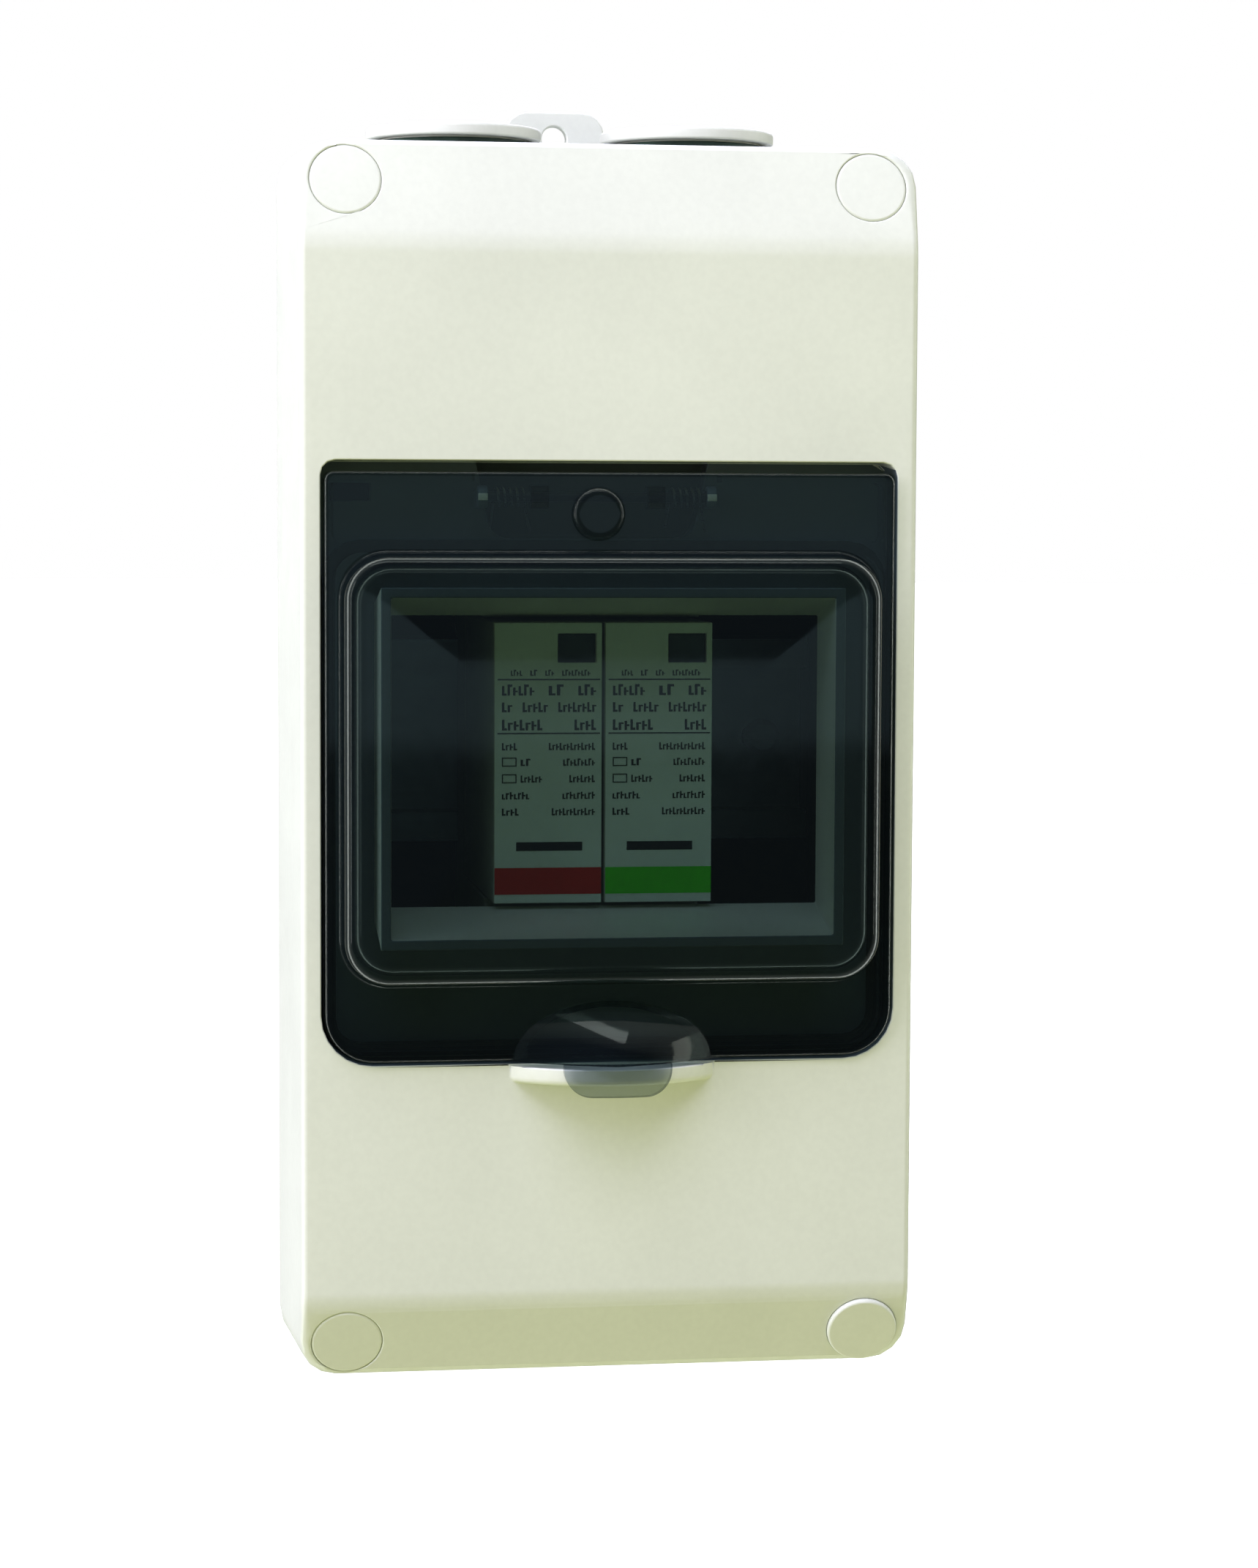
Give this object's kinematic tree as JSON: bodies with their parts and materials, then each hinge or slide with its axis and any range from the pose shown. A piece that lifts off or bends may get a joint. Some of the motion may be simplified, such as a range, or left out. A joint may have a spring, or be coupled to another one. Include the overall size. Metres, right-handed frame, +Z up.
{
  "type": "whole house surge protector",
  "caption": "Wall box with plug-in surge arresters on a rail behind a tinted, hinged flap window, with cable grommets on top.",
  "frame": {"origin": "middle of the flat back that lies on the wall", "axes": "+Z up, +Y into the wall, front faces -Y"},
  "size_m": [0.1006, 0.0859, 0.2178],
  "materials": {
    "shell_grey": "fine satin grain",
    "soft_grey": "satin",
    "smoked_clear": "polished, dark tinted, see-through",
    "black_rubber": "matt",
    "spring_steel": "drawn wire",
    "zinc_steel": "bright zinc",
    "tinned_copper": "dull tin",
    "module_grey": "fine satin grain",
    "plug_white": "satin",
    "clip_black": "satin",
    "flag_green": "satin"
  },
  "bodies": {
    "base": {"base_box": "shell_grey", "cover_gasket": "black_rubber", "entry_collar_left": "soft_grey", "entry_collar_right": "soft_grey", "entry_seal_left": "black_rubber", "entry_seal_right": "black_rubber", "din_rail": "zinc_steel", "rail_screw_left": "zinc_steel", "rail_screw_right": "zinc_steel", "arrester_base_left": "module_grey", "arrester_base_right": "module_grey"},
    "cover": {"front_cover": "shell_grey", "door_seal": "black_rubber", "hinge_pin": "spring_steel", "hinge_spring_left": "spring_steel", "hinge_spring_right": "spring_steel"},
    "door": {"door": "smoked_clear"},
    "plug_left": {"arrester_plug_left": "plug_white", "contact_blade_upper_left": "tinned_copper", "contact_blade_lower_left": "tinned_copper"},
    "flag_left": {"indicator_flag_left": "flag_green"},
    "clip_left": {"rail_clip_left": "clip_black"},
    "plug_right": {"arrester_plug_right": "plug_white", "contact_blade_upper_right": "tinned_copper", "contact_blade_lower_right": "tinned_copper"},
    "flag_right": {"indicator_flag_right": "flag_green"},
    "clip_right": {"rail_clip_right": "clip_black"},
    "cap_upper_left": {"screw_cap_upper_left": "soft_grey"},
    "screw_upper_left": {"cover_screw_upper_left": "zinc_steel"},
    "terminal_screw_upper_left": {"terminal_screw_upper_left": "zinc_steel"},
    "terminal_clamp_upper_left": {"terminal_clamp_upper_left": "zinc_steel"},
    "cap_upper_right": {"screw_cap_upper_right": "soft_grey"},
    "screw_upper_right": {"cover_screw_upper_right": "zinc_steel"},
    "terminal_screw_upper_right": {"terminal_screw_upper_right": "zinc_steel"},
    "terminal_clamp_upper_right": {"terminal_clamp_upper_right": "zinc_steel"},
    "cap_lower_left": {"screw_cap_lower_left": "soft_grey"},
    "screw_lower_left": {"cover_screw_lower_left": "zinc_steel"},
    "terminal_screw_lower_left": {"terminal_screw_lower_left": "zinc_steel"},
    "terminal_clamp_lower_left": {"terminal_clamp_lower_left": "zinc_steel"},
    "cap_lower_right": {"screw_cap_lower_right": "soft_grey"},
    "screw_lower_right": {"cover_screw_lower_right": "zinc_steel"},
    "terminal_screw_lower_right": {"terminal_screw_lower_right": "zinc_steel"},
    "terminal_clamp_lower_right": {"terminal_clamp_lower_right": "zinc_steel"}
  },
  "joints": [
    {"name": "cover_lift_off", "type": "slide", "parent": "base", "child": "cover", "axis": [0, -1, 0], "range_m": [0, 0.06]},
    {"name": "door_hinge", "type": "hinge", "parent": "cover", "child": "door", "pos_m": [-0.002, -0.0739, 0.0422], "axis": [-1, 0, 0], "range_deg": [0, 90], "stiffness_Nm_per_rad": 0.012, "springref_deg": -17.19, "deforming": ["hinge_spring_left", "hinge_spring_right"]},
    {"name": "plug_left_pull", "type": "slide", "parent": "base", "child": "plug_left", "axis": [0, -1, 0], "range_m": [0, 0.012]},
    {"name": "flag_left_drop", "type": "slide", "parent": "plug_left", "child": "flag_left", "axis": [0, 0, -1], "range_m": [0, 0.0046]},
    {"name": "clip_left_release", "type": "slide", "parent": "base", "child": "clip_left", "axis": [0, 0, -1], "range_m": [0, 0.003], "stiffness_N_per_m": 60, "springref_m": -0.003},
    {"name": "plug_right_pull", "type": "slide", "parent": "base", "child": "plug_right", "axis": [0, -1, 0], "range_m": [0, 0.012]},
    {"name": "flag_right_drop", "type": "slide", "parent": "plug_right", "child": "flag_right", "axis": [0, 0, -1], "range_m": [0, 0.0046]},
    {"name": "clip_right_release", "type": "slide", "parent": "base", "child": "clip_right", "axis": [0, 0, -1], "range_m": [0, 0.003], "stiffness_N_per_m": 60, "springref_m": -0.003},
    {"name": "cap_upper_left_pull", "type": "slide", "parent": "cover", "child": "cap_upper_left", "axis": [0, -0.9598, 0.2807], "range_m": [0, 0.006]},
    {"name": "cover_screw_upper_left_turn", "type": "hinge", "parent": "cover", "child": "screw_upper_left", "pos_m": [-0.0414, -0.0626, 0.091], "axis": [0, -1, 0], "range_deg": [0, 1080]},
    {"name": "terminal_screw_upper_left_turn", "type": "hinge", "parent": "base", "child": "terminal_screw_upper_left", "pos_m": [-0.00887, -0.0469, 0.0354], "axis": [0, 1, 0], "range_deg": [0, 1440]},
    {"name": "terminal_clamp_upper_left_rise", "type": "slide", "parent": "base", "child": "terminal_clamp_upper_left", "axis": [0, -1, 0], "range_m": [0, 0.0032]},
    {"name": "cap_upper_right_pull", "type": "slide", "parent": "cover", "child": "cap_upper_right", "axis": [0, -0.9598, 0.2807], "range_m": [0, 0.006]},
    {"name": "cover_screw_upper_right_turn", "type": "hinge", "parent": "cover", "child": "screw_upper_right", "pos_m": [0.0414, -0.0626, 0.091], "axis": [0, -1, 0], "range_deg": [0, 1080]},
    {"name": "terminal_screw_upper_right_turn", "type": "hinge", "parent": "base", "child": "terminal_screw_upper_right", "pos_m": [0.00887, -0.0469, 0.0354], "axis": [0, 1, 0], "range_deg": [0, 1440]},
    {"name": "terminal_clamp_upper_right_rise", "type": "slide", "parent": "base", "child": "terminal_clamp_upper_right", "axis": [0, -1, 0], "range_m": [0, 0.0032]},
    {"name": "cap_lower_left_pull", "type": "slide", "parent": "cover", "child": "cap_lower_left", "axis": [0, -0.9259, -0.3778], "range_m": [0, 0.006]},
    {"name": "cover_screw_lower_left_turn", "type": "hinge", "parent": "cover", "child": "screw_lower_left", "pos_m": [-0.0414, -0.0626, -0.091], "axis": [0, -1, 0], "range_deg": [0, 1080]},
    {"name": "terminal_screw_lower_left_turn", "type": "hinge", "parent": "base", "child": "terminal_screw_lower_left", "pos_m": [-0.00887, -0.0469, -0.0354], "axis": [0, 1, 0], "range_deg": [0, 1440]},
    {"name": "terminal_clamp_lower_left_rise", "type": "slide", "parent": "base", "child": "terminal_clamp_lower_left", "axis": [0, -1, 0], "range_m": [0, 0.0032]},
    {"name": "cap_lower_right_pull", "type": "slide", "parent": "cover", "child": "cap_lower_right", "axis": [0, -0.9259, -0.3778], "range_m": [0, 0.006]},
    {"name": "cover_screw_lower_right_turn", "type": "hinge", "parent": "cover", "child": "screw_lower_right", "pos_m": [0.0414, -0.0626, -0.091], "axis": [0, -1, 0], "range_deg": [0, 1080]},
    {"name": "terminal_screw_lower_right_turn", "type": "hinge", "parent": "base", "child": "terminal_screw_lower_right", "pos_m": [0.00887, -0.0469, -0.0354], "axis": [0, 1, 0], "range_deg": [0, 1440]},
    {"name": "terminal_clamp_lower_right_rise", "type": "slide", "parent": "base", "child": "terminal_clamp_lower_right", "axis": [0, -1, 0], "range_m": [0, 0.0032]}
  ],
  "couplings": [
    {"joint": "terminal_screw_upper_left_turn", "follows": "terminal_clamp_upper_left_rise", "rad_per_m": 7853.9},
    {"joint": "terminal_screw_upper_right_turn", "follows": "terminal_clamp_upper_right_rise", "rad_per_m": 7853.9},
    {"joint": "terminal_screw_lower_left_turn", "follows": "terminal_clamp_lower_left_rise", "rad_per_m": 7853.9},
    {"joint": "terminal_screw_lower_right_turn", "follows": "terminal_clamp_lower_right_rise", "rad_per_m": 7853.9}
  ]
}
